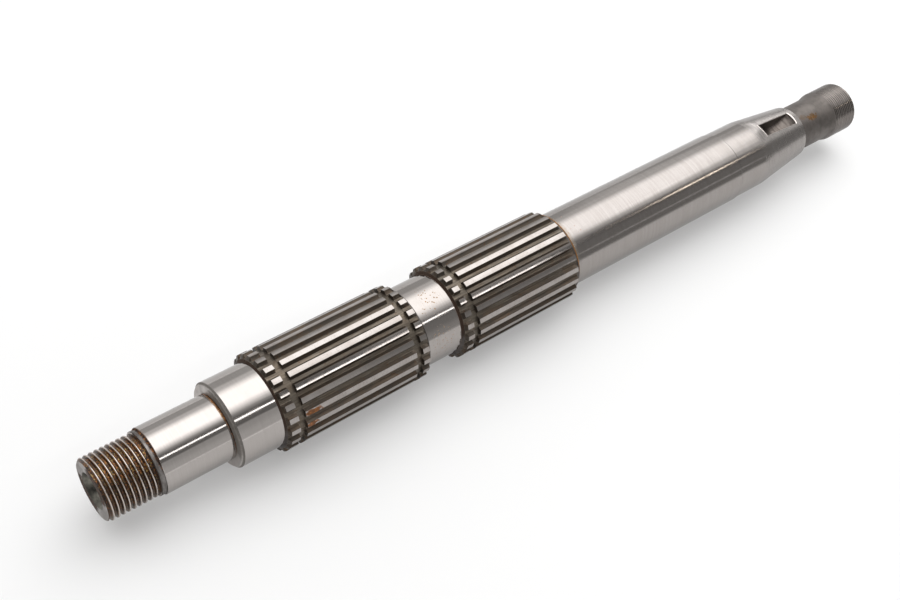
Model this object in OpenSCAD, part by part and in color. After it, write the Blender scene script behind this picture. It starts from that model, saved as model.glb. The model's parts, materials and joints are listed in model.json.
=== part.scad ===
// Gearbox mainshaft, turned, splined and ground from one bar of steel.
// The axis lies along X with the threaded end at -X and the clutch taper at +X.
// The origin is on the axis, at the shoulder that the main bearing seats against.

/* [Threaded end] */
// Outside diameter of the nut thread
thread_d = 17.9; // [17:0.1:18.2]
// Pitch of the nut thread
thread_pitch = 1.5; // [1:0.25:2]
// Angle about the axis at which the thread starts
thread_turn = 218.5; // [0:0.5:360]
// Length from the end face to the plain land behind the thread
thread_l = 14.35; // [11:0.05:24]
// Length of the runout groove between the last turn and the land
runout_l = 0.6; // [0.4:0.1:1.2]
// Diameter of the plain land behind the thread
land_d = 18.3; // [18:0.1:18.8]
// Length of the plain land behind the thread
land_l = 1.5; // [0.8:0.1:6]

/* [Ground seats] */
// Diameter of the small seat next to the thread
small_seat_d = 19; // [18.9:0.05:21]
// Length of the small seat
small_seat_l = 20; // [12:0.5:30]
// Diameter of the main bearing seat
bearing_seat_d = 25; // [23:0.05:26]
// Length of the main bearing seat
bearing_seat_l = 12.8; // [9:0.1:20]
// Chamfer on the leading edge of the main bearing seat
seat_chamfer = 0.7; // [0.2:0.1:1]

/* [Splines] */
// Number of teeth, the same on both splines
teeth = 23; // [20:1:24]
// Outside diameter over the teeth
spline_d = 28.95; // [28.5:0.05:31]
// Depth of the gaps between the teeth
tooth_depth = 1.15; // [0.8:0.05:1.3]
// Width of a gap at the tips of the teeth
gap_w = 2.33; // [2:0.01:2.5]
// Width of the flat floor of a gap
gap_floor_w = 1; // [0.6:0.05:1.5]
// Length of the spline beside the main bearing
first_spline_l = 47.8; // [30:0.1:70]
// Length of the spline beside the gear journal
second_spline_l = 44.6; // [30:0.1:70]
// Length of the cone from the seat in front of a spline up to the tips of its teeth
tooth_lead = 1.05; // [0.6:0.05:1.5]
// Length of the bevel on the far ends of the teeth
tooth_chamfer = 0.6; // [0.2:0.1:1]
// Length of the plain collar on the short journal behind the first spline
first_collar_l = 0.4; // [0.2:0.1:2]
// Length of the plain collar on the gear journal behind the second spline
second_collar_l = 1.1; // [0.2:0.1:2]

/* [Snap ring grooves] */
// Width of a groove
ring_groove_w = 2.2; // [1.2:0.05:2.5]
// Depth of a groove below the tips of the teeth
ring_groove_depth = 1.25; // [1.15:0.05:1.6]
// From the bearing shoulder to the first groove
first_groove_x = 3.8; // [2.5:0.1:6]
// From the second groove to the far end of the first spline
end_groove_land = 2.8; // [2:0.1:6]
// From the near end of the second spline to its groove
second_groove_x = 3.25; // [2.5:0.05:6]

/* [Journals] */
// Diameter of the short journal between the splines
mid_journal_d = 24.9; // [23:0.05:26]
// Length of the short journal between the splines
mid_journal_l = 12.3; // [6:0.1:25]
// Diameter of the long gear journal
gear_journal_d = 24; // [23.7:0.05:26]
// Length of the long gear journal
gear_journal_l = 77; // [50:0.5:110]
// Diameter of the eased length before the taper
eased_d = 23.5; // [23:0.05:23.9]
// Length of the eased length before the taper
eased_l = 14.65; // [8:0.05:25]

/* [Clutch end] */
// Length of the lead from the eased length to the taper
lead_l = 3.8; // [2:0.1:6]
// Large diameter of the clutch taper
taper_d = 22.5; // [21.5:0.1:22.8]
// Small diameter of the clutch taper
taper_end_d = 18.4; // [17.5:0.1:20]
// Length of the clutch taper
taper_l = 18.2; // [16:0.1:26]
// Diameter of the neck behind the taper
neck_d = 16; // [14:0.1:17]
// Length of the neck behind the taper
neck_l = 14.5; // [8:0.1:24]
// Length of the flare from the neck to the end length
flare_l = 2.9; // [1.5:0.1:5]
// Diameter of the end length
end_d = 17.6; // [17.2:0.1:18.2]
// Length of the end length
end_l = 10.85; // [6:0.05:20]
// Chamfer on the edge of the far end face
end_chamfer = 0.5; // [0.2:0.1:0.8]

/* [Key slot] */
// Width of the half-round key slot
key_w = 4.76; // [3:0.01:6]
// Diameter of the half-round key
key_d = 19; // [16:0.05:19.5]
// Distance from the axis to the floor of the key slot
key_floor = 5.1; // [4.6:0.1:6.5]
// From the large end of the taper to the middle of the key slot
key_x = 7.7; // [6:0.1:11]

/* [Push rod bore] */
// Diameter of the bore through the shaft
bore_d = 6.5; // [4:0.1:7.5]
// Diameter of the centre countersink at each end
centre_d = 10.5; // [8:0.1:12]
// Included angle of the centre countersinks
centre_angle = 60; // [60:15:90]

/* [Hidden] */
steel = [0.66, 0.65, 0.63];
round_fn = 96;
cut_over = 1;

// Stations along the axis, worked outwards from the bearing shoulder
bearing_x = -bearing_seat_l;
small_seat_x = bearing_x - small_seat_l;
land_x = small_seat_x - land_l;
near_face_x = land_x - thread_l;
first_end_x = first_spline_l;
second_x = first_end_x + mid_journal_l;
second_end_x = second_x + second_spline_l;
journal_end_x = second_end_x + gear_journal_l;
lead_x = journal_end_x + eased_l;
taper_x = lead_x + lead_l;
taper_end_x = taper_x + taper_l;
flare_x = taper_end_x + neck_l;
end_x = flare_x + flare_l;
far_face_x = end_x + end_l;

// Radius of the ring grooves and the collars, just under the floors of the tooth gaps
groove_r = spline_d / 2 - ring_groove_depth;

// Angular pitch of the teeth; the key slot lines up with the gap next to the top tooth
tooth_pitch = 360 / teeth;
key_turn = tooth_pitch / 2;

// Thread section: a 60 degree vee with the crest an eighth of the pitch wide
thread_depth = 0.5413 * thread_pitch;
thread_root_r = thread_d / 2 - thread_depth;
thread_steps = 36;
thread_lead = 0.1;
thread_seat = 0.5;
corner_at = [0, 0.25, 0.5625, 0.6875];
corner_rise = [0, 0, 1, 1];
corners = len(corner_at);
turns = floor((thread_l - runout_l - thread_lead) / thread_pitch) - 1;
rows = corners * turns;
column = rows + 3;

// Height of corner row i above the end face, at angular step j
function row_z(i, j) =
    thread_lead + thread_pitch * (floor(i / corners) + corner_at[i % corners] + j / thread_steps);

// Radius of corner row i, held under the chamfer of the end face
function row_r(i, j) =
    min(thread_root_r + corner_rise[i % corners] * thread_depth, thread_root_r + row_z(i, j));

function ring_point(r, j, z) =
    [r * cos(360 * j / thread_steps), r * sin(360 * j / thread_steps), z];

// One column of points up the thread: end face, every corner row, root inside the land
function thread_column(j) = concat(
    [ring_point(thread_root_r, j, 0)],
    [for (i = [0 : rows]) ring_point(row_r(i, j), j, row_z(i, j))],
    [ring_point(thread_root_r, j, thread_l + thread_seat)]
);

// Right-hand thread on its own core: columns of corner points joined round the axis,
// where the last column meets the first one turn higher up
module nut_thread() {
    points = [for (j = [0 : thread_steps - 1]) each thread_column(j)];
    last = (thread_steps - 1) * column;
    sides = [for (j = [0 : thread_steps - 2], i = [0 : rows + 1])
        each [[j * column + i, j * column + i + 1, (j + 1) * column + i + 1],
              [j * column + i, (j + 1) * column + i + 1, (j + 1) * column + i]]];
    seam = [for (i = [1 : rows - corners])
        each [[last + i, last + i + 1, i + corners + 1],
              [last + i, i + corners + 1, i + corners]]];
    start = concat(
        [[last, last + 1, 0]],
        [for (i = [0 : corners]) [last + 1, i + 1, i]]
    );
    finish = concat(
        [for (i = [rows + 1 - corners : rows + 1]) [last + i, last + i + 1, rows + 1]],
        [[last + rows + 2, rows + 2, rows + 1]]
    );
    near_cap = [[for (j = [0 : thread_steps - 1]) j * column]];
    far_cap = [[for (j = [thread_steps - 1 : -1 : 0]) j * column + rows + 2]];
    translate([near_face_x, 0, 0])
        rotate([thread_turn, 0, 0])
            rotate([0, 90, 0])
                polyhedron(points, concat(sides, seam, start, finish, near_cap, far_cap), convexity = 10);
}

// Outline of a splined length at full tooth height, from the cone in front of it to its collar
function spline_outline(x0, x1, collar_l) = [
    [x0 + tooth_lead, spline_d / 2],
    [x1 - tooth_chamfer, spline_d / 2],
    [x1, groove_r],
    [x1 + collar_l, groove_r]
];

// Half outline of the turned bar from the land behind the thread to the far face
outline = concat(
    [
        [land_x, 0],
        [land_x, land_d / 2],
        [small_seat_x, land_d / 2],
        [small_seat_x, small_seat_d / 2],
        [bearing_x, small_seat_d / 2],
        [bearing_x, bearing_seat_d / 2 - seat_chamfer],
        [bearing_x + seat_chamfer, bearing_seat_d / 2],
        [0, bearing_seat_d / 2]
    ],
    spline_outline(0, first_end_x, first_collar_l),
    [
        [first_end_x + first_collar_l, mid_journal_d / 2],
        [second_x, mid_journal_d / 2]
    ],
    spline_outline(second_x, second_end_x, second_collar_l),
    [
        [second_end_x + second_collar_l, gear_journal_d / 2],
        [journal_end_x, gear_journal_d / 2],
        [journal_end_x, eased_d / 2],
        [lead_x, eased_d / 2],
        [taper_x, taper_d / 2],
        [taper_end_x, taper_end_d / 2],
        [taper_end_x, neck_d / 2],
        [flare_x, neck_d / 2],
        [end_x, end_d / 2],
        [far_face_x - end_chamfer, end_d / 2],
        [far_face_x, end_d / 2 - end_chamfer],
        [far_face_x, 0]
    ]
);

// Turns a half outline, drawn as axial place and radius, about the X axis
module turned(half) {
    rotate([0, 90, 0])
        rotate_extrude($fn = round_fn)
            polygon([for (p = half) [p[1], p[0]]]);
}

// The gaps between the teeth over one splined length
module tooth_gaps(x0, x1) {
    root_r = spline_d / 2 - tooth_depth;
    flank = (gap_w - gap_floor_w) / 2 / tooth_depth;
    mouth_w = gap_floor_w + 2 * flank * (tooth_depth + cut_over);
    for (i = [0 : teeth - 1])
        rotate([(i + 0.5) * tooth_pitch, 0, 0])
            translate([x0 - cut_over, 0, root_r])
                rotate([90, 0, 90])
                    linear_extrude(x1 - x0 + 2 * cut_over)
                        polygon([
                            [-gap_floor_w / 2, 0],
                            [gap_floor_w / 2, 0],
                            [mouth_w / 2, tooth_depth + cut_over],
                            [-mouth_w / 2, tooth_depth + cut_over]
                        ]);
}

// A snap ring groove turned into the teeth, starting at x
module ring_groove(x) {
    turned([
        [x, groove_r],
        [x, spline_d / 2 + cut_over],
        [x + ring_groove_w, spline_d / 2 + cut_over],
        [x + ring_groove_w, groove_r]
    ]);
}

// Half-round key slot, cut square to the axis by a disc cutter
module key_slot() {
    rotate([key_turn, 0, 0])
        translate([taper_x + key_x, 0, key_floor + key_d / 2])
            rotate([90, 0, 0])
                cylinder(d = key_d, h = key_w, center = true, $fn = round_fn);
}

// Push rod bore with a turning centre at each end
module push_rod_bore() {
    centre_depth = (centre_d - bore_d) / 2 / tan(centre_angle / 2);
    over_r = cut_over * tan(centre_angle / 2);
    turned([
        [near_face_x - cut_over, 0],
        [near_face_x - cut_over, centre_d / 2 + over_r],
        [near_face_x + centre_depth, bore_d / 2],
        [far_face_x - centre_depth, bore_d / 2],
        [far_face_x + cut_over, centre_d / 2 + over_r],
        [far_face_x + cut_over, 0]
    ]);
}

module mainshaft() {
    color(steel)
        difference() {
            union() {
                turned(outline);
                nut_thread();
            }
            tooth_gaps(0, first_end_x);
            tooth_gaps(second_x, second_end_x);
            ring_groove(first_groove_x);
            ring_groove(first_end_x - end_groove_land - ring_groove_w);
            ring_groove(second_x + second_groove_x);
            key_slot();
            push_rod_bore();
        }
}

mainshaft();
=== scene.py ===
import json
import math

import bpy
import numpy as np
from mathutils import Matrix, Vector


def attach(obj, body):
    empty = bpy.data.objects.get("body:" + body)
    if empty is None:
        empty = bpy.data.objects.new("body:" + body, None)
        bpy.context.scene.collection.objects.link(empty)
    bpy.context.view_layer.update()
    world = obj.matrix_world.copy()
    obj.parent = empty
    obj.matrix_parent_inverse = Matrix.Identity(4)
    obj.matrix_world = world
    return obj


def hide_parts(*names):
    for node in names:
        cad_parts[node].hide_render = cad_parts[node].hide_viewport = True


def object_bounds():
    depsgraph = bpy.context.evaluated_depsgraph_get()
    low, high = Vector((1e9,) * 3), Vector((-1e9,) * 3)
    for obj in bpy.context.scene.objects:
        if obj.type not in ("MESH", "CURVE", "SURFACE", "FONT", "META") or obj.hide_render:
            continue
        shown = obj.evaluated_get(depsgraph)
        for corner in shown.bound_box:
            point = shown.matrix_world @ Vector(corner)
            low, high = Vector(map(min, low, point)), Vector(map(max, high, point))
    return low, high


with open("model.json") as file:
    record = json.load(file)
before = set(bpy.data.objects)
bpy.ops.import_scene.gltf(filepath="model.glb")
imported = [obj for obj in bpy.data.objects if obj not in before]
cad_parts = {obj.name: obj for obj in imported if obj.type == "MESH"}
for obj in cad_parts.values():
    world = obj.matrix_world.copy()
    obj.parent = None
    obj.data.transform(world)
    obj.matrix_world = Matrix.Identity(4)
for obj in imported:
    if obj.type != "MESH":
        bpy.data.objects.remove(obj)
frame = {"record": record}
cadLow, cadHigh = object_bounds()
mm = 0.001  # the sizes below are in millimetres, the scene is in metres
fits = {mount["name"]: mount["dims"] for mount in frame["record"]["mounts"]}
print("frame loaded", [round(v / mm, 2) for v in (*cadLow, *cadHigh)])


# Grid that every length of the shaft shares: columns run round the axis from the underside,
# rows run along it, and the last column closes on the first
grid = {
    "teeth": 23,
    "columnsPerTooth": 12,
    "weld": 1e-4,  # points nearer than this are one point
    "weldShift": 0.37,  # keeps round sizes away from the borders of the weld's cells
    "sharpAngle": 30,
}
columns = grid["teeth"] * grid["columnsPerTooth"]
turnShare = np.arange(columns + 1) / columns
underside = -math.pi / 2
evenTurn = underside + 2 * math.pi * (turnShare % 1)

finishes = ["seatSteel", "midSteel", "journalSteel", "taperSteel", "shoulder", "toothTip", "toothGap",
            "threadSteel", "landSteel", "neckSteel", "turnedEnd", "faceSteel", "endFace", "boreSteel",
            "slotSteel", "slotRim"]
finishIndex = {name: i for i, name in enumerate(finishes)}


# A point at distance radius from the axis and angle turn about it: (along, r cos turn, r sin turn)
def roundPoints(along, radius, turn):
    along, radius, turn = np.broadcast_arrays(along, radius, turn)
    return np.stack([along, radius * np.cos(turn), radius * np.sin(turn)], axis=-1)


# Turned length: every outline point (along, radius) is carried once round the axis
def turnedLength(outline, finish, turn=evenTurn):
    outline = np.array(outline, float)
    points = roundPoints(outline[:, :1], outline[:, 1:], turn[None, :])
    return points, np.full(points.shape[:2], finishIndex[finish])


thread = {
    "outside": fits["nut_thread"]["r_mm"],
    "pitch": 1.5,
    "depth": 0.81,
    "crestShift": 0.085,  # place of the crest on the underside, in turns from the end face
    "runout": 0.6,
    "runoutFade": 0.5,
    "endRadius": 8.25,  # the end face is chamfered down to this
    "chamfer": 0.8,
    "sectionAt": [0, 0.05, 0.09, 0.36, 0.43, 0.5],  # half section in turns from the crest
    "sectionRise": [1, 0.985, 0.92, 0.06, 0.01, 0],
    "rowAt": [-0.43, -0.36, -0.22, -0.09, -0.05, 0, 0.05, 0.09, 0.22, 0.36, 0.43, 0.5],
}


# Screw thread: each row keeps its place in the thread's section and climbs one pitch in a turn,
# x = pitch (turns + place in section + angle / full turn), held between the end face and the land.
# The radius is the section at that phase, under the end chamfer and the runout groove
def threadLength(start, end):
    turns = np.arange(-2, math.ceil((end - start) / thread["pitch"]) + 1)
    rows = (turns[:, None] + np.array(thread["rowAt"])).ravel()
    climb = (rows[:, None] + turnShare[None, :] + thread["crestShift"]) * thread["pitch"]
    climb = np.clip(climb, 0, end - start)
    phase = climb / thread["pitch"] - turnShare - thread["crestShift"]
    phase = np.abs((phase + 0.5) % 1 - 0.5)
    root = thread["outside"] - thread["depth"]
    radius = root + thread["depth"] * np.interp(phase, thread["sectionAt"], thread["sectionRise"])
    runoutAt = end - start - thread["runout"]
    cover = np.interp(climb, [0, thread["chamfer"], runoutAt - thread["runoutFade"], runoutAt],
                      [thread["endRadius"], thread["outside"], thread["outside"], root])
    points = roundPoints(start + climb, np.minimum(radius, cover), evenTurn[None, :])
    return points, np.full(points.shape[:2], finishIndex["threadSteel"])


spline = {
    "tip": fits["first_spline"]["r_mm"],
    "coneLength": 1.05,  # the thread side ends in a cone from the seat up to the tips
    "farBevel": 0.6,  # the clutch side ends in a bevel down to a plain collar
    "collarEdge": 0.12,
    "grooveWidth": 2.2,
    "grooveRadius": 13.225,
    "cuts": [-0.5, -0.375, -0.345, -0.213, -0.19, -0.1, 0, 0.1, 0.19, 0.213, 0.345, 0.375],
    "sectionAt": [0, 0.19, 0.213, 0.345, 0.375, 0.5],  # half section of a tooth in pitches
    "sectionDrop": [0, 0, 0.06, 1.075, 1.145, 1.15],
    "tipFaces": (-0.2, 0.15),  # faces that start between these cuts are the tip
}
toothPitch = 2 * math.pi / grid["teeth"]
cuts = np.array(spline["cuts"])
toothTurn = underside + toothPitch * ((np.arange(grid["teeth"])[:, None] + 0.5 + cuts).ravel())
toothTurn = np.append(toothTurn, toothTurn[0])
toothDrop = np.interp(np.abs(cuts), spline["sectionAt"], spline["sectionDrop"])
toothDrop = np.append(np.tile(toothDrop, grid["teeth"]), toothDrop[0])
tipFrom, tipTo = spline["tipFaces"]
onTip = np.append(np.tile((cuts > tipFrom) & (cuts < tipTo), grid["teeth"]), False)


# Splined length: the radius is the tooth section round the axis, under a cone that rises from the seat
# beside it and a bevel at the other end. A snap ring groove takes it down to one radius, and so does the
# collar that the bevel ends in
def splineLength(start, end, seatRadius, grooves, collar):
    tip = spline["tip"]
    root = tip - spline["sectionDrop"][-1]
    rootAt = start + spline["coneLength"] * (root - seatRadius) / (tip - seatRadius)
    stations = [(start, seatRadius, False), (rootAt, root, False), (start + spline["coneLength"], tip, True)]
    for groove in grooves:
        far = groove + spline["grooveWidth"]
        stations += [(groove, tip, False), (groove, spline["grooveRadius"], False),
                     (far, spline["grooveRadius"], False), (far, tip, True)]
    low, edge = spline["grooveRadius"], spline["collarEdge"]
    stations += [(end - spline["farBevel"], tip, False), (end, low, False), (end + collar - edge, low, False),
                 (end + collar, low - edge, False)]
    along = np.array([s[0] for s in stations])[:, None]
    cover = np.array([s[1] for s in stations])[:, None]
    toothed = np.array([s[2] for s in stations])[:, None]
    radius = np.minimum(tip - toothDrop[None, :], cover)
    points = roundPoints(along, radius, toothTurn[None, :])
    finish = np.where(toothed & onTip[None, :], finishIndex["toothTip"], finishIndex["toothGap"])
    finish[0] = finishIndex["shoulder"]
    finish[-3:] = finishIndex["shoulder"]
    return points, finish


keySlot = {
    "halfWidth": 2.38,
    "cutterRadius": 9.5,
    "cutterHeight": 14.6,  # from the axis to the middle of the disc cutter
    "middle": 207.85,
    "rim": 0.22,  # broken edge along the mouth
    "nearRim": 0.5,  # worn edges where the cutter went in and came out
    "farRim": 0.25,
    "farDepth": 0.15,
    "span": 11,  # columns on each side of the slot's middle
    "blend": 24,  # columns over which the neighbours give way
    "rows": 26,
    "halvings": 40,
}


# Key slot in the taper: over the slot's columns a point is height h up the slot's middle plane and t
# beside it. h is the taper, sqrt(r^2 - t^2), outside the mouth, and the disc cutter's arc,
# h = centre - sqrt(R^2 - x^2), inside it; each row runs between the two ends that the arc cuts
def slotLength(taperRadius):
    span = keySlot["span"]
    middleColumn = int(round((math.pi + toothPitch / 2) / (2 * math.pi) * columns))
    offset = np.arange(columns + 1) - middleColumn
    inside = np.abs(offset) <= span
    half = keySlot["halfWidth"]
    beside = np.concatenate([[-half - keySlot["rim"], -half], np.linspace(-half, half, 2 * span - 3),
                             [half, half + keySlot["rim"]]])
    sideways = np.clip(beside, -half, half)
    arc = lambda x: keySlot["cutterHeight"] - np.sqrt(
        np.maximum(keySlot["cutterRadius"] ** 2 - (x - keySlot["middle"]) ** 2, 0))
    surface = lambda x, t: np.sqrt(taperRadius(x) ** 2 - t ** 2)

    # where the arc comes up through the surface, by bisection for every column at once
    def mouthEnd(side, below):
        low = np.full(beside.shape, keySlot["middle"])
        high = np.full(beside.shape, keySlot["middle"] + side * keySlot["cutterRadius"])
        for _ in range(keySlot["halvings"]):
            mid = (low + high) / 2
            under = arc(mid) < surface(mid, sideways) - below
            low, high = np.where(under, mid, low), np.where(under, high, mid)
        return low

    rim = keySlot["rim"]
    near, far = mouthEnd(-1, 0), mouthEnd(1, keySlot["farDepth"])
    nearLip, farLip = near - keySlot["nearRim"], mouthEnd(1, 0) + keySlot["farRim"]
    share = (1 - np.cos(np.linspace(0, math.pi, keySlot["rows"]))) / 2
    along = near[None, :] + (far - near)[None, :] * share[:, None]
    top = surface(along, beside[None, :])
    floor = arc(along)
    height = floor.copy()
    height[:, [0, -1]] = top[:, [0, -1]]
    height[:, [1, -2]] = np.maximum(top - rim, floor)[:, [1, -2]]
    along = np.concatenate([nearLip[None, :], along, farLip[None, :]])
    height = np.concatenate([surface(nearLip, beside)[None, :], height, surface(farLip, beside)[None, :]])

    # the columns beside the slot give way to it and are even again further round
    rowAlong = along[:, [0]]
    radius = taperRadius(rowAlong)
    slotAngle = underside + math.pi + toothPitch / 2
    lip = np.arcsin(beside[-1] / radius)
    stepAngle = 2 * math.pi / columns
    away = np.abs(offset)[None, :]
    given = np.where(away < keySlot["blend"],
                     lip + (away - span) / (keySlot["blend"] - span) * (keySlot["blend"] * stepAngle - lip),
                     away * stepAngle)
    turn = slotAngle + np.sign(offset)[None, :] * given
    points = roundPoints(rowAlong, radius, turn)
    points[:, -1] = points[:, 0]
    c, s = math.cos(slotAngle), math.sin(slotAngle)
    points[:, inside] = np.stack([along, height * c - beside * s, height * s + beside * c], axis=-1)
    finish = np.full(points.shape[:2], finishIndex["taperSteel"])
    finish[:-1, middleColumn - span:middleColumn + span] = finishIndex["slotRim"]
    finish[1:-2, middleColumn - span + 1:middleColumn + span - 1] = finishIndex["slotSteel"]
    return points, finish


body = {
    "landRadius": 9.15,
    "landLength": 1.5,
    "threadLength": 14.35,
    "bearingLength": 12.8,
    "seatChamfer": 0.7,
    "firstSpline": (0, 47.8, (3.8, 42.8), 0.4),  # start, end, snap ring grooves, collar
    "secondSpline": (60.1, 104.7, (63.35,), 1.1),
    "midRadius": 12.45,
    "easedRadius": 11.75,
    "easedLength": 14.65,
    "leadLength": 3.8,
    "leadEase": 2.5,  # the corner before the lead is rounded off over this length on both sides
    "taperRadius": 11.25,
    "taperEndRadius": 9.2,
    "taperLength": 18.2,
    "neckRadius": 8,
    "neckLength": 14.5,
    "flareLength": 2.9,
    "endRadius": 8.8,
    "endChamfer": 0.5,
    "turnedLine": 0.9,  # from one turned line to the next on the far end
    "turnedDepth": 0.03,
    "turnedSection": [-0.18, -0.05, 0.05, 0.18],  # edges and floor of one line
    "turnedFrom": (0.6, 0.3),  # kept plain before the first line and after the last
    "neckFillet": 0.3,
    "flareBlend": (0.4, 0.12),  # half length and rise of the corner between neck and flare
    "lastRow": 0.5,  # the last plain row stands this far before a spline or a step
    "stepHalf": 0.2,  # half length of the step at the journal's end
    "slotClear": (0.6, 0.4),  # plain rows stay this far before and after the slot
    "centreRadius": 5.25,
    "centreDepth": 3.464,
    "edgeBreak": 0.15,
}


# Rows of a plain turned length with a broken edge at its two ends, and rows between at even steps
def plainOutline(start, end, radius, step=9.0):
    edge = body["edgeBreak"]
    middle = np.linspace(start + edge, end - edge, max(2, int((end - start) / step) + 1))
    return [(start, radius - edge), *[(x, radius) for x in middle], (end, radius - edge)]


# The whole shaft as one list of rows, out along the outside and back through the bore
def shaftRows():
    nearX, farX = cadLow.x / mm, cadHigh.x / mm
    landX = nearX + body["threadLength"]
    smallX = landX + body["landLength"]
    bearingX = -body["bearingLength"]
    firstStart, firstEnd, firstGrooves, firstCollar = body["firstSpline"]
    secondStart, secondEnd, secondGrooves, secondCollar = body["secondSpline"]
    journal = fits["gear_journal"]
    midX, journalX = firstEnd + firstCollar, secondEnd + secondCollar
    journalEnd = journalX + journal["length_mm"]
    leadX = journalEnd + body["easedLength"]
    taperX = leadX + body["leadLength"]
    taperEnd = taperX + body["taperLength"]
    flareX = taperEnd + body["neckLength"]
    endX = flareX + body["flareLength"]
    seatR = fits["bearing_seat"]["r_mm"]
    midR, neckR, boreR = body["midRadius"], body["neckRadius"], fits["push_rod_bore"]["r_mm"]
    edge, ease = body["edgeBreak"], body["leadEase"]
    lastRow, step = body["lastRow"], body["stepHalf"]
    fillet = body["neckFillet"]
    blend, blendRise = body["flareBlend"]
    fall = (body["easedRadius"] - body["taperRadius"]) / body["leadLength"]
    rounded = lambda x: fall * np.maximum(ease - np.abs(x - leadX), 0) ** 2 / (4 * ease)
    coneRadii = [body["easedRadius"], body["taperRadius"], body["taperEndRadius"]]
    cone = lambda x: np.interp(x, [leadX, taperX, taperEnd], coneRadii) - rounded(x)
    slot = slotLength(cone)
    slotStart, slotEnd = slot[0][0, :, 0].min(), slot[0][-1, :, 0].max()
    clearBefore, clearAfter = body["slotClear"]
    before = np.linspace(leadX - ease, slotStart - clearBefore, 9)
    after = np.linspace(slotEnd + clearAfter, taperEnd - edge, 3)
    plainFirst, plainLast = body["turnedFrom"]
    lines = np.arange(endX + plainFirst, farX - body["endChamfer"] - plainLast, body["turnedLine"])
    lineAt = (lines[:, None] + np.array(body["turnedSection"])).ravel()
    lineR = body["endRadius"] - np.tile([0, 1, 1, 0], len(lines)) * body["turnedDepth"]
    return [
        threadLength(nearX, landX),
        turnedLength([(landX, body["landRadius"] - edge), (landX + edge, body["landRadius"]),
                      (smallX, body["landRadius"])], "landSteel"),
        turnedLength(plainOutline(smallX, bearingX, fits["small_seat"]["r_mm"])[:-1], "seatSteel"),
        turnedLength([(bearingX, fits["small_seat"]["r_mm"])], "faceSteel"),
        turnedLength([(bearingX, seatR - body["seatChamfer"])], "faceSteel"),
        turnedLength([(bearingX + body["seatChamfer"], seatR), (bearingX / 2, seatR)], "seatSteel"),
        turnedLength([(firstStart - lastRow, seatR)], "seatSteel", toothTurn),
        splineLength(firstStart, firstEnd, seatR, firstGrooves, firstCollar),
        turnedLength([(midX, midR), ((midX + secondStart) / 2, midR)], "midSteel"),
        turnedLength([(secondStart - lastRow, midR)], "midSteel", toothTurn),
        splineLength(secondStart, secondEnd, midR, secondGrooves, secondCollar),
        turnedLength([(x, journal["r_mm"]) for x in np.linspace(journalX, journalEnd - lastRow, 9)]
                     + [(journalEnd - step, journal["r_mm"])], "journalSteel"),
        turnedLength([(x, body["easedRadius"]) for x in (journalEnd + step, journalEnd + lastRow,
                                                         leadX - ease - lastRow)], "journalSteel"),
        turnedLength([(x, cone(x)) for x in before], "taperSteel"),
        slot,
        turnedLength([(x, cone(x)) for x in after], "taperSteel"),
        turnedLength([(taperEnd, body["taperEndRadius"] - edge)], "faceSteel"),
        turnedLength([(taperEnd, neckR + fillet), (taperEnd + fillet, neckR),
                      ((taperEnd + flareX) / 2, neckR), (flareX - blend, neckR),
                      (flareX + blend, neckR + blendRise)], "neckSteel"),
        turnedLength([(endX, body["endRadius"]), *zip(lineAt, lineR),
                      (farX - body["endChamfer"], body["endRadius"])], "turnedEnd"),
        turnedLength([(farX, body["endRadius"] - body["endChamfer"])], "faceSteel"),
        turnedLength([(farX, body["centreRadius"]), (farX - body["centreDepth"], boreR),
                      (nearX + body["centreDepth"], boreR)], "boreSteel"),
        turnedLength([(nearX, body["centreRadius"])], "endFace"),
    ]


# Closes the rows into one skin: the last row meets the first, points in one place become one point,
# and a face that has lost a side becomes a triangle or goes
def skinMesh(name, lengths):
    points = np.concatenate([length[0] for length in lengths])
    finish = np.concatenate([length[1] for length in lengths])
    rows, cols = points.shape[:2]
    key = np.floor(points.reshape(-1, 3) / grid["weld"] + grid["weldShift"]).astype(np.int64)
    _, first, same = np.unique(key, axis=0, return_index=True, return_inverse=True)
    corner = same.reshape(rows, cols)
    below = np.roll(corner, -1, axis=0)
    quads = np.stack([corner[:, :-1], corner[:, 1:], below[:, 1:], below[:, :-1]], axis=-1).reshape(-1, 4)
    kind = finish[:, :-1].ravel()
    lost = quads == np.roll(quads, -1, axis=1)
    folded = (quads[:, 0] == quads[:, 2]) | (quads[:, 1] == quads[:, 3])
    whole = (lost.sum(axis=1) == 0) & ~folded
    threeSided = (lost.sum(axis=1) == 1) & ~folded
    keep = ~lost[threeSided]
    triangles = quads[threeSided][keep].reshape(-1, 3)
    mesh = bpy.data.meshes.new(name)
    mesh.from_pydata((points.reshape(-1, 3)[first] * mm).tolist(), [],
                     quads[whole].tolist() + triangles.tolist())
    faceKind = np.concatenate([kind[whole], kind[threeSided]])
    mesh.polygons.foreach_set("material_index", faceKind.astype(np.int32))
    mesh.polygons.foreach_set("use_smooth", np.ones(len(mesh.polygons), bool))
    mesh.validate()
    mesh.set_sharp_from_angle(angle=math.radians(grid["sharpAngle"]))
    mesh.update()
    return mesh


shaftMesh = skinMesh("shaft", shaftRows())
shaft = bpy.data.objects.new("shaft", shaftMesh)
bpy.context.scene.collection.objects.link(shaft)
print("shaft skin", len(shaftMesh.vertices), "points", len(shaftMesh.polygons), "faces")


# Small helpers for node trees: a socket as a value makes a link, anything else sets the input
def addNode(tree, kind, inputs=None, **settings):
    made = tree.nodes.new(kind)
    for key, value in settings.items():
        setattr(made, key, value)
    for key, value in (inputs or {}).items():
        if isinstance(value, bpy.types.NodeSocket):
            tree.links.new(value, made.inputs[key])
        else:
            made.inputs[key].default_value = value
    return made


def calc(tree, operation, a, b=0.0, c=0.0):
    return addNode(tree, "ShaderNodeMath", {0: a, 1: b, 2: c}, operation=operation).outputs[0]


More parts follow.
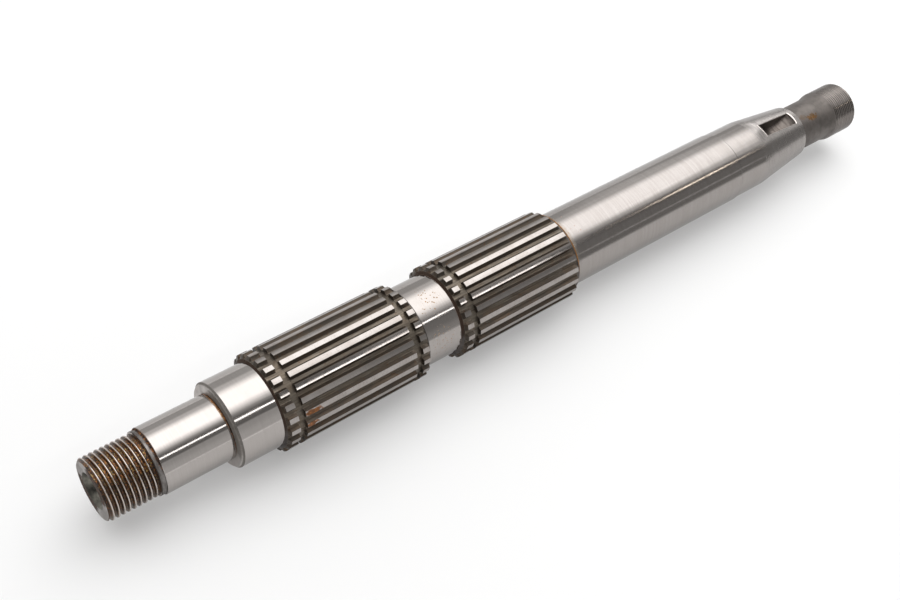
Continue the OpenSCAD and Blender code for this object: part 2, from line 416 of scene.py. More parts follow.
def vectorCalc(tree, operation, a, b=(0, 0, 0), output="Vector"):
    return addNode(tree, "ShaderNodeVectorMath", {0: a, 1: b}, operation=operation).outputs[output]


def mixColour(tree, share, a, b):
    return addNode(tree, "ShaderNodeMix", {0: share, 6: a, 7: b}, data_type="RGBA").outputs[2]


def ramp(tree, value, low, high, toLow=0.0, toHigh=1.0):
    span = {"Value": value, "From Min": low, "From Max": high, "To Min": toLow, "To Max": toHigh}
    return addNode(tree, "ShaderNodeMapRange", span, interpolation_type="SMOOTHSTEP").outputs[0]


def noise(tree, where, scale, detail=4.0, roughness=0.62):
    inputs = {"Vector": where, "Scale": scale, "Detail": detail, "Roughness": roughness}
    return addNode(tree, "ShaderNodeTexNoise", inputs).outputs[0]


def newGroup(name, takes, gives):
    group = bpy.data.node_groups.new(name, "ShaderNodeTree")
    for socket, kind, value in takes:
        made = group.interface.new_socket(name=socket, in_out="INPUT", socket_type="NodeSocket" + kind)
        made.default_value = value
    for socket, kind in gives:
        group.interface.new_socket(name=socket, in_out="OUTPUT", socket_type="NodeSocket" + kind)
    where = addNode(group, "ShaderNodeTexCoord").outputs["Object"]
    return group, group.nodes.new("NodeGroupInput").outputs, group.nodes.new("NodeGroupOutput").inputs, where


def useGroup(tree, group, **inputs):
    return addNode(tree, "ShaderNodeGroup", inputs, node_tree=group).outputs


# Distance from the shaft's axis in millimetres
def makeAxisDistance():
    group, _, gives, where = newGroup("axisDistance", [], [("Radius", "Float")])
    across = vectorCalc(group, "MULTIPLY", where, (0, 1, 1))
    away = vectorCalc(group, "LENGTH", across, output="Value")
    group.links.new(calc(group, "MULTIPLY", away, 1000.0), gives["Radius"])
    return group


toolMarks = {
    "lineDetail": 3.0,
    "lineRange": (0.28, 0.72),
    "cloudScale": 190.0,
    "cloudRange": (0.3, 0.7),
}


# Grinding and turning lines: noise squeezed along the axis, so that it draws lines round the shaft,
# and an even cloud for handling marks
def makeToolLines():
    takenIn = [("Spacing", "Float", 0.3), ("Length", "Float", 12.0)]
    group, takes, gives, where = newGroup("toolLines", takenIn, [("Lines", "Float"), ("Cloud", "Float")])
    fine = calc(group, "DIVIDE", 1000.0, takes["Spacing"])
    drawn = calc(group, "DIVIDE", 1000.0, takes["Length"])
    scale = addNode(group, "ShaderNodeCombineXYZ", {0: fine, 1: drawn, 2: drawn}).outputs[0]
    lines = noise(group, vectorCalc(group, "MULTIPLY", where, scale), 1.0, toolMarks["lineDetail"])
    cloud = noise(group, where, toolMarks["cloudScale"])
    group.links.new(ramp(group, lines, *toolMarks["lineRange"]), gives["Lines"])
    group.links.new(ramp(group, cloud, *toolMarks["cloudRange"]), gives["Cloud"])
    return group


rust = {
    "dark": (0.020, 0.012, 0.008, 1.0),
    "brown": (0.075, 0.030, 0.010, 1.0),
    "orange": (0.300, 0.100, 0.016, 1.0),
    "ochre": (0.400, 0.210, 0.050, 1.0),
    "steps": {"dark": 0.44, "brown": 0.52, "orange": 0.61, "ochre": 0.70},  # grain at which each tint is full
    "detail": 5.0,
}


# Rust by its grain: dark oxide, brown, orange and a little ochre
def makeRustBloom():
    group, takes, gives, where = newGroup("rustBloom", [("Grain", "Float", 1500.0)],
                                          [("Colour", "Color"), ("Grit", "Float")])
    grit = noise(group, where, takes["Grain"], rust["detail"])
    tints = addNode(group, "ShaderNodeValToRGB", {0: grit})
    stops = tints.color_ramp.elements
    stops[0].position, stops[1].position = rust["steps"]["dark"], rust["steps"]["ochre"]
    stops[0].color, stops[1].color = rust["dark"], rust["ochre"]
    for tint in ("brown", "orange"):
        stops.new(rust["steps"][tint]).color = rust[tint]
    group.links.new(tints.outputs[0], gives["Colour"])
    group.links.new(grit, gives["Grit"])
    return group


markEdge = {
    "patch": (1.05, 0.75),  # distances from the middle at which a stain has gone and is full
    "corner": (1.0, 0.3),
    "cornerGrain": 750.0,
    "cornerThin": 1.3,  # how far a corner's mark thins out on its other side
    "cornerTurn": 0.9,  # share of the way round over which it does
    "dotGrain": 3500.0,
    "dotBend": 0.25,
    "dotFull": 0.55,
}


# Stain with a ragged edge: full inside an ellipsoid round a centre, broken up by noise towards its edge
def makeStain():
    takenIn = [("Centre", "Vector", (0, 0, 0)), ("Reach", "Vector", (1, 1, 1)), ("Ragged", "Float", 0.6),
               ("Grain", "Float", 900.0)]
    group, takes, gives, where = newGroup("stain", takenIn, [("Mask", "Float")])
    apart = vectorCalc(group, "DIVIDE", vectorCalc(group, "SUBTRACT", where, takes["Centre"]), takes["Reach"])
    away = vectorCalc(group, "LENGTH", apart, output="Value")
    rough = calc(group, "SUBTRACT", noise(group, where, takes["Grain"]), 0.5)
    ragged = calc(group, "MULTIPLY_ADD", rough, takes["Ragged"], away)
    group.links.new(ramp(group, ragged, *markEdge["patch"]), gives["Mask"])
    return group


# Line of stain in a turned corner, also used for the painted shade on the bearing seat's face: full at one
# place along the shaft and gone a width away. It is strongest on the side that it faces and thins out round
# the shaft
def makeCornerStainAndShade():
    takenIn = [("Place", "Float", 0.0), ("Width", "Float", 0.5), ("Breaks", "Float", 0.8),
               ("Facing", "Vector", (0, 0, 1)), ("From", "Float", -1.2)]
    group, takes, gives, where = newGroup("cornerStain", takenIn, [("Mask", "Float")])
    along = calc(group, "MULTIPLY", addNode(group, "ShaderNodeSeparateXYZ", {0: where}).outputs[0], 1000.0)
    apart = calc(group, "ABSOLUTE", calc(group, "SUBTRACT", along, takes["Place"]))
    out = vectorCalc(group, "NORMALIZE", vectorCalc(group, "MULTIPLY", where, (0, 1, 1)))
    turned = vectorCalc(group, "DOT_PRODUCT", out, takes["Facing"], output="Value")
    turnedTo = calc(group, "ADD", takes["From"], markEdge["cornerTurn"])
    thin = ramp(group, turned, takes["From"], turnedTo, markEdge["cornerThin"], 0.0)
    away = calc(group, "ADD", calc(group, "DIVIDE", apart, takes["Width"]), thin)
    rough = calc(group, "SUBTRACT", noise(group, where, markEdge["cornerGrain"]), 0.5)
    broken = calc(group, "MULTIPLY_ADD", rough, takes["Breaks"], away)
    group.links.new(ramp(group, broken, *markEdge["corner"]), gives["Mask"])
    return group


# Small rust dots: round the points of a scattered grid, each of its own size, and only at a share of them
def makeRustDots():
    takenIn = [("Spacing", "Float", 1.2), ("Size", "Float", 0.3), ("Share", "Float", 0.4)]
    group, takes, gives, where = newGroup("rustDots", takenIn, [("Mask", "Float")])
    perMetre = calc(group, "DIVIDE", 1000.0, takes["Spacing"])
    cells = addNode(group, "ShaderNodeTexVoronoi", {"Vector": where, "Scale": perMetre})
    chance = addNode(group, "ShaderNodeSeparateColor", {0: cells.outputs["Color"]})
    size = calc(group, "MULTIPLY", takes["Size"], chance.outputs[1])
    rough = calc(group, "SUBTRACT", noise(group, where, markEdge["dotGrain"]), 0.5)
    bent = calc(group, "MULTIPLY_ADD", rough, markEdge["dotBend"], cells.outputs["Distance"])
    dot = ramp(group, bent, size, calc(group, "MULTIPLY", size, markEdge["dotFull"]))
    there = calc(group, "LESS_THAN", chance.outputs[0], takes["Share"])
    group.links.new(calc(group, "MULTIPLY", dot, there), gives["Mask"])
    return group


axisDistance, toolLines, rustBloom = makeAxisDistance(), makeToolLines(), makeRustBloom()
stain, cornerStain, rustDots = makeStain(), makeCornerStainAndShade(), makeRustDots()
print("node groups made")


# A grey as steel has it: a little red and less blue
def grey(value, warm=0.05):
    return (value * (1 + 1.4 * warm), value, value * (1 - 0.9 * warm), 1.0)


# A place on the shaft in metres, from millimetres along it, distance from the axis and angle
def onShaft(along, radius, degrees):
    turn = math.radians(degrees)
    return (along * mm, radius * math.cos(turn) * mm, radius * math.sin(turn) * mm)


def newMaterial(name):
    material = bpy.data.materials.new(name)
    material.use_nodes = True
    return material, material.node_tree, material.node_tree.nodes["Principled BSDF"]


def addBump(tree, shader, height, depth):
    bump = addNode(tree, "ShaderNodeBump", {"Height": height, "Strength": 1.0, "Distance": depth * mm})
    tree.links.new(bump.outputs[0], shader.inputs["Normal"])


steel = {
    "edgeOn": 0.82,  # reflection at a low angle, where a finish gives none of its own
    "stainRough": 0.45,  # what a full mark adds to the roughness, stains and the painted shade on the bearing seat's face alike
    "stainMetal": -0.85,  # and to the metal
}


# Machined steel: tool lines and cloud vary its colour and gloss, and marks lie over it,
# each a mask and a tint
def makeSteel(name, look, marksOf=None):
    material, tree, shader = newMaterial(name)
    lines = useGroup(tree, toolLines, Spacing=look["spacing"], Length=look["length"])
    streak = calc(tree, "MULTIPLY", lines["Lines"], 1 - look["cloudy"])
    tone = calc(tree, "MULTIPLY_ADD", lines["Cloud"], look["cloudy"], streak)
    colour = mixColour(tree, tone, look["dark"], look["light"])
    roughness = ramp(tree, tone, 0.0, 1.0, look["rough"], look["smooth"])
    shader.inputs["Metallic"].default_value = 1.0
    shader.inputs["Specular Tint"].default_value = grey(look.get("edgeOn", steel["edgeOn"]), 0)
    marked = None
    for mask, tint in marksOf(tree) if marksOf else []:
        colour = mixColour(tree, mask, colour, tint)
        marked = mask if marked is None else calc(tree, "MAXIMUM", marked, mask)
    if marked is not None:
        roughness = calc(tree, "MULTIPLY_ADD", marked, steel["stainRough"], roughness)
        metal = calc(tree, "MULTIPLY_ADD", marked, steel["stainMetal"], 1.0)
        tree.links.new(metal, shader.inputs["Metallic"])
    tree.links.new(colour, shader.inputs["Base Color"])
    tree.links.new(roughness, shader.inputs["Roughness"])
    addBump(tree, shader, lines["Lines"], look["lineDepth"])
    return material


# Stains in corners, and the painted shade on the bearing seat's face, from a finish's list: place, width,
# breaks, angle it faces, start, share, tint
def cornerMarks(tree, corners, grain=1300.0):
    bloom = useGroup(tree, rustBloom, Grain=grain)["Colour"]
    marks = []
    for place, width, breaks, degrees, start, share, tint in corners:
        facing = onShaft(0, 1 / mm, degrees)
        mask = useGroup(tree, cornerStain, Place=place, Width=width, Breaks=breaks, Facing=facing, From=start)
        marks.append((calc(tree, "MULTIPLY", mask["Mask"], share), bloom if tint == "rust" else tint))
    return marks


# Ragged patches of one tint, from a finish's list: along, angle, length, width, share
def patchMarks(tree, look, radius, tint):
    ragged, grain = look["patchEdge"]
    marks = []
    for along, degrees, length, width, share in look["patches"]:
        reach = (length * mm, width * mm, width * mm)
        patch = useGroup(tree, stain, Centre=onShaft(along, radius, degrees), Reach=reach, Ragged=ragged,
                         Grain=grain)
        marks.append((calc(tree, "MULTIPLY", patch["Mask"], share), tint))
    return marks


# Patches that are broken up into dots, each of a spacing, size and share
def dotMarks(tree, look, radius, tint):
    spacing, size, often = look["dots"]
    dots = useGroup(tree, rustDots, Spacing=spacing, Size=size, Share=often)["Mask"]
    patches = patchMarks(tree, look, radius, tint)
    return [(calc(tree, "MULTIPLY", mask, dots), tint) for mask, tint in patches]


seatLook = {
    "light": grey(0.375),
    "dark": grey(0.345, 0.055),
    "smooth": 0.07,
    "rough": 0.12,
    "spacing": 0.35,
    "length": 14.0,
    "cloudy": 0.4,
    "lineDepth": 0.0003,
    "corners": [(-12.75, 0.55, 0.6, 100, -0.5, 0.9, rust["brown"]),
                (-13.2, 0.8, 1.3, 92, 0.36, 0.95, (0.62, 0.27, 0.050, 1.0)),
                (-13.0, 0.55, 2.0, 92, -0.1, 0.8, "rust"),
                (-12.7, 0.4, 0.5, 112, 0.1, 0.9, rust["dark"]),
                (-32.75, 0.3, 0.8, 75, 0.1, 0.9, rust["brown"])],
}

midLook = {
    "light": grey(0.345),
    "dark": grey(0.31, 0.065),
    "smooth": 0.08,
    "rough": 0.14,
    "spacing": 0.35,
    "length": 14.0,
    "cloudy": 0.5,
    "lineDepth": 0.0003,
    "corners": [(60.1, 0.2, 0.6, 110, -0.9, 0.9, rust["brown"])],
    "dots": (0.42, 0.75, 0.32),
    "patches": [(54.6, 97, 3.6, 3.6, 0.9), (52.5, 110, 2.6, 2.6, 0.75), (53, 158, 5.0, 5.0, 0.5)],
    "patchEdge": (1.6, 500.0),
    "bloomGrain": 1600.0,
    "ochreShare": 0.6,
}


def midMarks(tree):
    bloom = useGroup(tree, rustBloom, Grain=midLook["bloomGrain"])
    tint = mixColour(tree, midLook["ochreShare"], bloom["Colour"], rust["ochre"])
    return cornerMarks(tree, midLook["corners"]) + dotMarks(tree, midLook, body["midRadius"], tint)


journalLook = {
    "light": grey(0.300),
    "dark": grey(0.264, 0.065),
    "smooth": 0.11,
    "rough": 0.16,
    "spacing": 0.5,
    "length": 20.0,
    "cloudy": 0.35,
    "lineDepth": 0.0005,
    "corners": [(106.4, 1.5, 0.8, 88, -0.1, 0.22, (0.30, 0.20, 0.09, 1.0))],
    "dots": (0.9, 0.35, 0.3),
    "patches": [(110, 84, 6.0, 6.0, 0.5)],
    "patchEdge": (1.6, 400.0),
}


def journalMarks(tree):
    dots = dotMarks(tree, journalLook, fits["gear_journal"]["r_mm"], rust["orange"])
    return cornerMarks(tree, journalLook["corners"]) + dots


taperLook = {
    "light": grey(0.295),
    "dark": grey(0.27, 0.055),
    "smooth": 0.20,
    "rough": 0.28,
    "spacing": 0.5,
    "length": 20.0,
    "cloudy": 0.35,
    "lineDepth": 0.0008,
}

shoulderLook = {
    "light": grey(0.11, 0.08),
    "dark": grey(0.05, 0.12),
    "smooth": 0.35,
    "rough": 0.50,
    "spacing": 0.8,
    "length": 3.0,
    "cloudy": 0.7,
    "lineDepth": 0.004,
    "corners": [(body[name][0], 1.6, 0.5, 95, -0.2, 0.9, (0.045, 0.022, 0.011, 1.0))
                for name in ("firstSpline", "secondSpline")],
    "collar": (105.55, 0.3, 0.5, 84, -0.25, 1.0),
    "collarTint": (0.34, 0.15, 0.032, 1.0),
    "bloomGrain": 1300.0,
    "bloomShare": 0.4,
}


def shoulderMarks(tree):
    bloom = useGroup(tree, rustBloom, Grain=shoulderLook["bloomGrain"])
    tint = mixColour(tree, shoulderLook["bloomShare"], shoulderLook["collarTint"], bloom["Colour"])
    return cornerMarks(tree, [*shoulderLook["corners"], (*shoulderLook["collar"], tint)])


tipLook = {
    "light": grey(0.335),
    "dark": grey(0.265, 0.08),
    "smooth": 0.07,
    "rough": 0.13,
    "spacing": 0.4,
    "length": 9.0,
    "cloudy": 0.8,
    "lineDepth": 0.0005,
    "grain": (0.38, 0.8, 0.5, 0.08),  # fine dark grain: spacing, size, how often, share
    "grainTint": grey(0.10, 0.1),
    "patches": [(8.3, 153.6, 3.0, 1.0, 1.0), (7.4, 168.2, 2.0, 1.0, 1.0), (40.9, 161, 1.0, 0.6, 0.4)],
    "patchEdge": (1.8, 850.0),
    "bloomGrain": 1200.0,
    "bloomShare": 0.55,
}


def tipMarks(tree):
    bloom = useGroup(tree, rustBloom, Grain=tipLook["bloomGrain"])
    spacing, size, often, share = tipLook["grain"]
    grain = useGroup(tree, rustDots, Spacing=spacing, Size=size, Share=often)
    tint = mixColour(tree, tipLook["bloomShare"], rust["orange"], bloom["Colour"])
    return [(calc(tree, "MULTIPLY", grain["Mask"], share), tipLook["grainTint"]),
            *patchMarks(tree, tipLook, spline["tip"], tint)]


gapLook = {
    # the flank colour holds painted shade of the narrow gaps as well as dark oxide
    "flank": (0.052, 0.043, 0.035, 1.0),
    "root": (0.155, 0.134, 0.108, 1.0),
    "brown": (0.105, 0.066, 0.037, 1.0),
    "rootRadius": 13.34,
    "rootEdge": 0.1,
    "streaks": (6.0, 0.35),  # spacing along the shaft and round it
    "brownShare": 0.45,
    "streakShare": 0.6,
    "bloomGrain": 900.0,
    "specks": (0.60, 0.68),
    "speckShare": 0.55,
    "roughness": (0.34, 0.5),
    "metal": 0.8,
    "streakDepth": 0.008,
}


# Gaps of the splines: dark flanks, whose colour is dark oxide with painted shade of the narrow gaps, a
# lighter flat root with streaks along it, and brown dirt
def makeToothGap():
    material, tree, shader = newMaterial("toothGap")
    radius = useGroup(tree, axisDistance)["Radius"]
    spacing, length = gapLook["streaks"]
    streaks = useGroup(tree, toolLines, Spacing=spacing, Length=length)
    bloom = useGroup(tree, rustBloom, Grain=gapLook["bloomGrain"])
    onRoot = ramp(tree, radius, gapLook["rootRadius"] + gapLook["rootEdge"], gapLook["rootRadius"])
    colour = mixColour(tree, onRoot, gapLook["flank"], gapLook["root"])
    layers = [(streaks["Cloud"], gapLook["brownShare"], gapLook["brown"]),
              (streaks["Lines"], gapLook["streakShare"], gapLook["flank"]),
              (ramp(tree, bloom["Grit"], *gapLook["specks"]), gapLook["speckShare"], rust["brown"])]
    for mask, share, tint in layers:
        colour = mixColour(tree, calc(tree, "MULTIPLY", mask, share), colour, tint)
    tree.links.new(colour, shader.inputs["Base Color"])
    tree.links.new(ramp(tree, streaks["Lines"], 0.0, 1.0, *gapLook["roughness"]), shader.inputs["Roughness"])
    shader.inputs["Metallic"].default_value = gapLook["metal"]
    addBump(tree, shader, streaks["Lines"], gapLook["streakDepth"])
    return material


threadLook = {
    "crest": grey(0.46, 0.08),
    "flank": (0.022, 0.016, 0.012, 1.0),
    "specks": [(0.42, 0.48, (0.40, 0.15, 0.028, 1.0)),  # spacing, share, tint
               (0.36, 0.42, (0.36, 0.26, 0.09, 1.0))],
    "speckSize": 0.8,
    "crestRadius": 8.87,
    "crestEdge": 0.16,
    "patches": [(-40.5, 94, 10.0, 6.8, 1.0)],
    "patchEdge": (2.4, 380.0),
    "bloomGrain": 2600.0,
    "bloomShare": (0.35, 0.8),  # outside the rusty patch and in it
    "speckShare": (0.35, 0.95),
    "roughness": (0.40, 0.2),  # on the flanks and on the crests
    "metal": (0.45, 1.0),
    "gritDepth": 0.03,
}


# Nut thread: bright worn crests, oily flanks and rust on the upper side
def makeThreadSteel():
    material, tree, shader = newMaterial("threadSteel")
    radius = useGroup(tree, axisDistance)["Radius"]
    crestFrom = threadLook["crestRadius"] - threadLook["crestEdge"]
    crest = ramp(tree, radius, crestFrom, threadLook["crestRadius"])
    bloom = useGroup(tree, rustBloom, Grain=threadLook["bloomGrain"])
    [(rusty, bloomTint)] = patchMarks(tree, threadLook, thread["outside"], bloom["Colour"])
    share = ramp(tree, rusty, 0.0, 1.0, *threadLook["bloomShare"])
    colour = mixColour(tree, share, threadLook["flank"], bloomTint)
    often = ramp(tree, rusty, 0.0, 1.0, *threadLook["speckShare"])
    for spacing, amount, tint in threadLook["specks"]:
        specks = useGroup(tree, rustDots, Spacing=spacing, Size=threadLook["speckSize"], Share=amount)
        colour = mixColour(tree, calc(tree, "MULTIPLY", specks["Mask"], often), colour, tint)
    colour = mixColour(tree, crest, colour, threadLook["crest"])
    tree.links.new(colour, shader.inputs["Base Color"])
    tree.links.new(ramp(tree, crest, 0.0, 1.0, *threadLook["roughness"]), shader.inputs["Roughness"])
    tree.links.new(ramp(tree, crest, 0.0, 1.0, *threadLook["metal"]), shader.inputs["Metallic"])
    addBump(tree, shader, bloom["Grit"], threadLook["gritDepth"])
    return material


landLook = {
    "light": grey(0.22),
    "dark": grey(0.08, 0.08),
    "smooth": 0.34,
    "rough": 0.50,
    "spacing": 0.6,
    "length": 1.6,
    "cloudy": 0.45,
    "lineDepth": 0.004,
    "corners": [(-32.9, 0.7, 1.2, 75, -0.1, 1.0, "rust"), (-34.3, 0.25, 0.6, 90, -1.2, 0.8, rust["dark"])],
}

neckLook = {
    "light": grey(0.15, 0.08),
    "dark": grey(0.105, 0.08),
    "smooth": 0.50,
    "rough": 0.62,
    "edgeOn": 1.0,
    "spacing": 0.7,
    "length": 3.0,
    "cloudy": 0.8,
    "lineDepth": 0.004,
    "patches": [(224.6, 115, 1.7, 1.1, 0.9), (226.3, 117.5, 1.8, 0.9, 0.85), (226.0, 111, 1.0, 0.8, 0.7),
                (221.0, 106, 1.6, 1.0, 0.3)],
    "patchEdge": (3.2, 1300.0),
    "patchTint": (0.19, 0.10, 0.03, 1.0),
    "bloomGrain": 1500.0,
    "bloomShare": 0.4,
}


def neckMarks(tree):
    bloom = useGroup(tree, rustBloom, Grain=neckLook["bloomGrain"])
    tint = mixColour(tree, neckLook["bloomShare"], neckLook["patchTint"], bloom["Colour"])
    return patchMarks(tree, neckLook, body["neckRadius"], tint)


endLook = {
    "light": grey(0.25, 0.08),
    "dark": grey(0.115, 0.08),
    "smooth": 0.11,
    "rough": 0.17,
    "edgeOn": 0.6,
    "spacing": 0.30,
    "length": 18.0,
    "cloudy": 0.15,
    "lineDepth": 0.002,
    "corners": [(246.4, 0.5, 0.5, 120, -1.9, 0.7, (0.03, 0.028, 0.022, 1.0))],
    "groove": (0.008, 0.8, grey(0.05, 0.1)),  # depth at which the turned lines go dark, share, tint
}


def endMarks(tree):
    radius = useGroup(tree, axisDistance)["Radius"]
    depth, share, tint = endLook["groove"]
    low = ramp(tree, radius, body["endRadius"] - depth, body["endRadius"] - body["turnedDepth"])
    return [(calc(tree, "MULTIPLY", low, share), tint), *cornerMarks(tree, endLook["corners"])]


faceLook = {
    # the two corner marks here are painted shade: they darken the side of the face at 125 to 140 degrees
    # round, where it shows a dark reflection
    "corners": [(-12.8, 0.5, 0.7, 125, 0.1, 0.55, (0.09, 0.08, 0.06, 1.0)),
                (-12.3, 0.42, 0.4, 140, -1.2, 0.75, (0.09, 0.08, 0.065, 1.0))],
    "light": grey(0.50),
    "dark": grey(0.36),
    "smooth": 0.34,
    "rough": 0.46,
    "spacing": 2.0,
    "length": 2.5,
    "cloudy": 0.9,
    "lineDepth": 0.002,
}

endFaceLook = {
    "light": grey(0.34),
    "dark": grey(0.18, 0.08),
    "smooth": 0.30,
    "rough": 0.42,
    "spacing": 2.0,
    "length": 1.6,
    "cloudy": 0.7,
    "lineDepth": 0.004,
    "patches": [(cadLow.x / mm, 119.5, 6.2, 6.2, 0.95), (cadLow.x / mm, 299.5, 6.0, 6.0, 0.95)],
    "patchEdge": (1.2, 500.0),
    "patchRadius": 7.2,
    "bloomGrain": 1500.0,
    "bloomShare": 0.35,
}


def endFaceMarks(tree):
    bloom = useGroup(tree, rustBloom, Grain=endFaceLook["bloomGrain"])
    tint = mixColour(tree, endFaceLook["bloomShare"], rust["dark"], bloom["Colour"])
    return patchMarks(tree, endFaceLook, endFaceLook["patchRadius"], tint)


boreLook = {
    "light": (0.22, 0.21, 0.18, 1.0),
    "dark": (0.02, 0.02, 0.018, 1.0),
    "smooth": 0.30,
    "rough": 0.50,
    "spacing": 0.9,
    "length": 1.5,
    "cloudy": 0.6,
    "lineDepth": 0.01,
}

# Steel inside the key slot, darker than the taper it is cut in: its colour holds painted shade of the recess
slotLook = {
    "light": grey(0.20, 0.10),
    "dark": grey(0.055, 0.14),
    "smooth": 0.28,
    "rough": 0.42,
    "spacing": 0.55,
    "length": 6.0,
    "cloudy": 0.4,
    "lineDepth": 0.004,
}

rimLook = {
    "light": grey(0.62),
    "dark": grey(0.52, 0.08),
    "smooth": 0.30,
    "rough": 0.40,
    "spacing": 0.8,
    "length": 2.0,
    "cloudy": 0.5,
    "lineDepth": 0.001,
}

materials = {
    "seatSteel": makeSteel("seatSteel", seatLook, lambda tree: cornerMarks(tree, seatLook["corners"])),
    "midSteel": makeSteel("midSteel", midLook, midMarks),
    "journalSteel": makeSteel("journalSteel", journalLook, journalMarks),
    "taperSteel": makeSteel("taperSteel", taperLook),
    "shoulder": makeSteel("shoulder", shoulderLook, shoulderMarks),
    "toothTip": makeSteel("toothTip", tipLook, tipMarks),
    "toothGap": makeToothGap(),
    "threadSteel": makeThreadSteel(),
    "landSteel": makeSteel("landSteel", landLook, lambda tree: cornerMarks(tree, landLook["corners"])),
    "neckSteel": makeSteel("neckSteel", neckLook, neckMarks),
    "turnedEnd": makeSteel("turnedEnd", endLook, endMarks),
    "faceSteel": makeSteel("faceSteel", faceLook, lambda tree: cornerMarks(tree, faceLook["corners"])),
    "endFace": makeSteel("endFace", endFaceLook, endFaceMarks),
    "boreSteel": makeSteel("boreSteel", boreLook),
    "slotSteel": makeSteel("slotSteel", slotLook),
    "slotRim": makeSteel("slotRim", rimLook),
}
for name in finishes:
    shaftMesh.materials.append(materials[name])
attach(shaft, "root")
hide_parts("mainshaft")
print("finishes made", len(finishes))


# Pale floor at the shaft's lowest point: white to the eye and in the steel, with the shaft's shadow kept
floorLook = {
    "half": 6.0,
    "colour": (0.84, 0.84, 0.84, 1.0),
    "whiteShare": 0.25,
    "middle": (0.1, 0, 0),
    "whiteFrom": (0.45, 0.9),  # between these distances from the middle the floor turns white altogether
}


def makeFloor():
    half = floorLook["half"]
    mesh = bpy.data.meshes.new("floor")
    corners = [(x, y, cadLow.z) for x, y in ((-half, -half), (half, -half), (half, half), (-half, half))]
    mesh.from_pydata(corners, [], [(0, 1, 2, 3)])
    material = bpy.data.materials.new("floorPaper")
    material.use_nodes = True
    tree = material.node_tree
    tree.nodes.clear()
    paper = addNode(tree, "ShaderNodeBsdfDiffuse", {"Color": floorLook["colour"]})
    white = addNode(tree, "ShaderNodeEmission", {"Strength": 1.0})
    path = addNode(tree, "ShaderNodeLightPath")
    seen = calc(tree, "MAXIMUM", path.outputs["Is Camera Ray"],
                calc(tree, "MAXIMUM", path.outputs["Is Glossy Ray"], path.outputs["Is Transmission Ray"]))
    where = addNode(tree, "ShaderNodeTexCoord").outputs["Object"]
    fromMiddle = vectorCalc(tree, "SUBTRACT", where, floorLook["middle"])
    away = vectorCalc(tree, "LENGTH", fromMiddle, output="Value")
    whiteness = ramp(tree, away, *floorLook["whiteFrom"], floorLook["whiteShare"], 1.0)
    share = calc(tree, "MULTIPLY", seen, whiteness)
    mixed = addNode(tree, "ShaderNodeMixShader", {0: share, 1: paper.outputs[0], 2: white.outputs[0]})
    addNode(tree, "ShaderNodeOutputMaterial", {"Surface": mixed.outputs[0]})
    mesh.materials.append(material)
    floor = bpy.data.objects.new("floor", mesh)
    bpy.context.scene.collection.objects.link(floor)


# Lamps lie along the shaft and face it. Each has an angle about the axis, a distance from it, a middle
# and a length along it, and a spread in degrees as seen from the shaft. Bright is what a mirror would
# show of it, 1 being white paper, and lamps that lie behind each other add up. The long edges fade out
# over soft degrees, the ends over a share of the length
lamps = {
    "softbox1": {"angle": 58, "away": 1.00, "along": 0.27, "length": 2.30, "spread": 126, "bright": 0.43,
                 "soft": 14, "fade": 0.06},
    "softbox2": {"angle": 68.5, "away": 0.99, "along": 0.27, "length": 2.30, "spread": 91, "bright": 0.43,
                 "soft": 9, "fade": 0.06},
    "softbox3": {"angle": 73, "away": 0.98, "along": 0.27, "length": 2.30, "spread": 74, "bright": 0.43,
                 "soft": 9, "fade": 0.06},
    "softbox4": {"angle": 73.2, "away": 0.97, "along": 0.585, "length": 1.37, "spread": 66, "bright": 0.43,
                 "soft": 9, "fade": 0.1},
    "softbox5": {"angle": 73.5, "away": 0.96, "along": 0.585, "length": 1.37, "spread": 58, "bright": 0.43,
                 "soft": 9, "fade": 0.1},
    "softbox6": {"angle": 74, "away": 0.95, "along": 0.585, "length": 1.37, "spread": 49, "bright": 0.43,
                 "soft": 9, "fade": 0.1},
    "backPanel": {"angle": 13, "away": 1.00, "along": 1.05, "length": 0.56, "spread": 44, "bright": 0.42,
                  "soft": 14, "fade": 0.3},
    "endPanel": {"angle": 41, "away": 0.97, "along": 1.485, "length": 0.33, "spread": 74, "bright": 2.4,
                 "soft": 14, "fade": 0.2},
    "taperPanel": {"angle": 73, "away": 0.96, "along": 2.20, "length": 1.20, "spread": 112, "bright": 0.95,
                   "soft": 14, "fade": 0.1},
    "taperFill": {"angle": 145, "away": 0.90, "along": 2.10, "length": 1.20, "spread": 60, "bright": 0.14,
                  "soft": 12, "fade": 0.1},
    "farGlow": {"angle": 106.5, "away": 0.90, "along": 0.97, "length": 0.44, "spread": 29, "bright": 0.6,
                "soft": 8, "fade": 0.23},
    "farEdge": {"angle": 109, "away": 0.89, "along": 0.775, "length": 0.79, "spread": 32, "bright": 0.4,
                "soft": 8, "fade": 0.12},
    "strip": {"angle": 127.5, "away": 0.70, "along": 0.25, "length": 0.62, "spread": 3.9, "bright": 4.4,
              "soft": 0.5, "fade": 0.02},
    "stripFar": {"angle": 127.5, "away": 0.70, "along": 0.775, "length": 0.16, "spread": 1.9, "bright": 12.0,
                 "soft": 0.4, "fade": 0.35, "tint": (1.0, 0.90, 0.76)},
    "stripLow": {"angle": 159.5, "away": 0.70, "along": 0.72, "length": 0.44, "spread": 1.8, "bright": 0.9,
                 "soft": 0.4, "fade": 0.2},
    "nearFill": {"angle": 168, "away": 0.85, "along": -0.08, "length": 1.10, "spread": 56, "bright": 0.37,
                 "soft": 4, "fade": 0.08},
    "lowFill": {"angle": 172, "away": 0.86, "along": 0.03, "length": 1.32, "spread": 48, "bright": 0.16,
                "soft": 22, "fade": 0.08},
    "midFill": {"angle": 168, "away": 0.84, "along": 0.92, "length": 1.00, "spread": 78, "bright": 0.1,
                "soft": 14, "fade": 0.05},
}


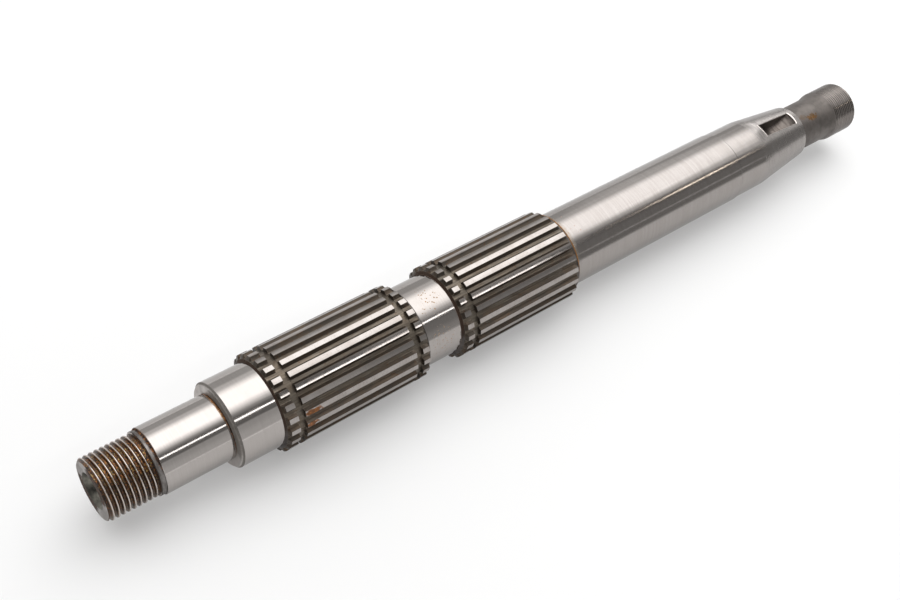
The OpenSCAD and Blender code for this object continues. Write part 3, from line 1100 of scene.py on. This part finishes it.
def makeLamp(name, look):
    half = math.tan(math.radians(look["spread"] / 2))
    lamp = bpy.data.lights.new(name, "AREA")
    lamp.shape = "RECTANGLE"
    lamp.size = look["length"]
    lamp.size_y = 2 * look["away"] * half
    lamp.energy = look["bright"] * math.pi * lamp.size * lamp.size_y
    lamp.color = look.get("tint", (1.0, 1.0, 1.0))
    lamp.use_nodes = True
    tree = lamp.node_tree
    spot = addNode(tree, "ShaderNodeNewGeometry").outputs["Parametric"]
    centred = vectorCalc(tree, "SUBTRACT", spot, (0.5, 0.5, 0))
    parts = addNode(tree, "ShaderNodeSeparateXYZ", {0: centred}).outputs
    full = 0.5 * math.tan(math.radians(look["spread"] / 2 - look["soft"])) / half
    sides = ramp(tree, calc(tree, "ABSOLUTE", parts[1]), 0.5, full)
    ends = ramp(tree, calc(tree, "ABSOLUTE", parts[0]), 0.5, 0.5 - look["fade"])
    tree.links.new(calc(tree, "MULTIPLY", sides, ends), tree.nodes["Emission"].inputs["Strength"])
    holder = bpy.data.objects.new(name, lamp)
    turn = math.radians(look["angle"])
    out = Vector((0, math.cos(turn), math.sin(turn)))
    side = Vector((1, 0, 0))
    place = out * look["away"] + side * look["along"]
    facing = Matrix((side, out.cross(side), out)).transposed().to_4x4()
    holder.matrix_world = Matrix.Translation(place) @ facing
    holder.visible_camera = False
    bpy.context.scene.collection.objects.link(holder)


worldLook = {
    "horizon": (0.66, 0.66, 0.66, 1.0),
    "above": (0.23, 0.228, 0.224, 1.0),
    "rise": 0.055,  # sine of the height at which the pale horizon has gone
}


def makeWorld():
    world = bpy.data.worlds.new("studio")
    world.use_nodes = True
    tree = world.node_tree
    way = addNode(tree, "ShaderNodeTexCoord").outputs["Generated"]
    height = addNode(tree, "ShaderNodeSeparateXYZ", {0: way}).outputs[2]
    share = ramp(tree, height, 0.0, worldLook["rise"])
    colour = mixColour(tree, share, worldLook["horizon"], worldLook["above"])
    tree.links.new(colour, tree.nodes["Background"].inputs["Color"])
    bpy.context.scene.world = world


cameraLook = {
    "place": (-0.11045, -0.15610, 0.27637),
    "aim": (0.06726, 0.00178, 0.0),
    "roll": 13.2465,
    "lens": 49.475,
    "sensor": 36.0,
    "clipStart": 0.01,
}


def makeCamera():
    data = bpy.data.cameras.new("camera")
    data.sensor_fit = "HORIZONTAL"
    data.sensor_width = cameraLook["sensor"]
    data.lens = cameraLook["lens"]
    data.clip_start = cameraLook["clipStart"]
    holder = bpy.data.objects.new("camera", data)
    place = Vector(cameraLook["place"])
    ahead = (Vector(cameraLook["aim"]) - place).normalized()
    level = ahead.cross(Vector((0, 0, 1))).normalized()
    right = Matrix.Rotation(math.radians(-cameraLook["roll"]), 3, ahead) @ level
    up = right.cross(ahead)
    facing = Matrix((right, up, -ahead)).transposed().to_4x4()
    holder.matrix_world = Matrix.Translation(place) @ facing
    bpy.context.scene.collection.objects.link(holder)
    bpy.context.scene.camera = holder


makeFloor()
for name, look in lamps.items():
    makeLamp(name, look)
makeWorld()
makeCamera()
bpy.context.scene.view_settings.view_transform = "Standard"
print("stage, lamps and camera set")
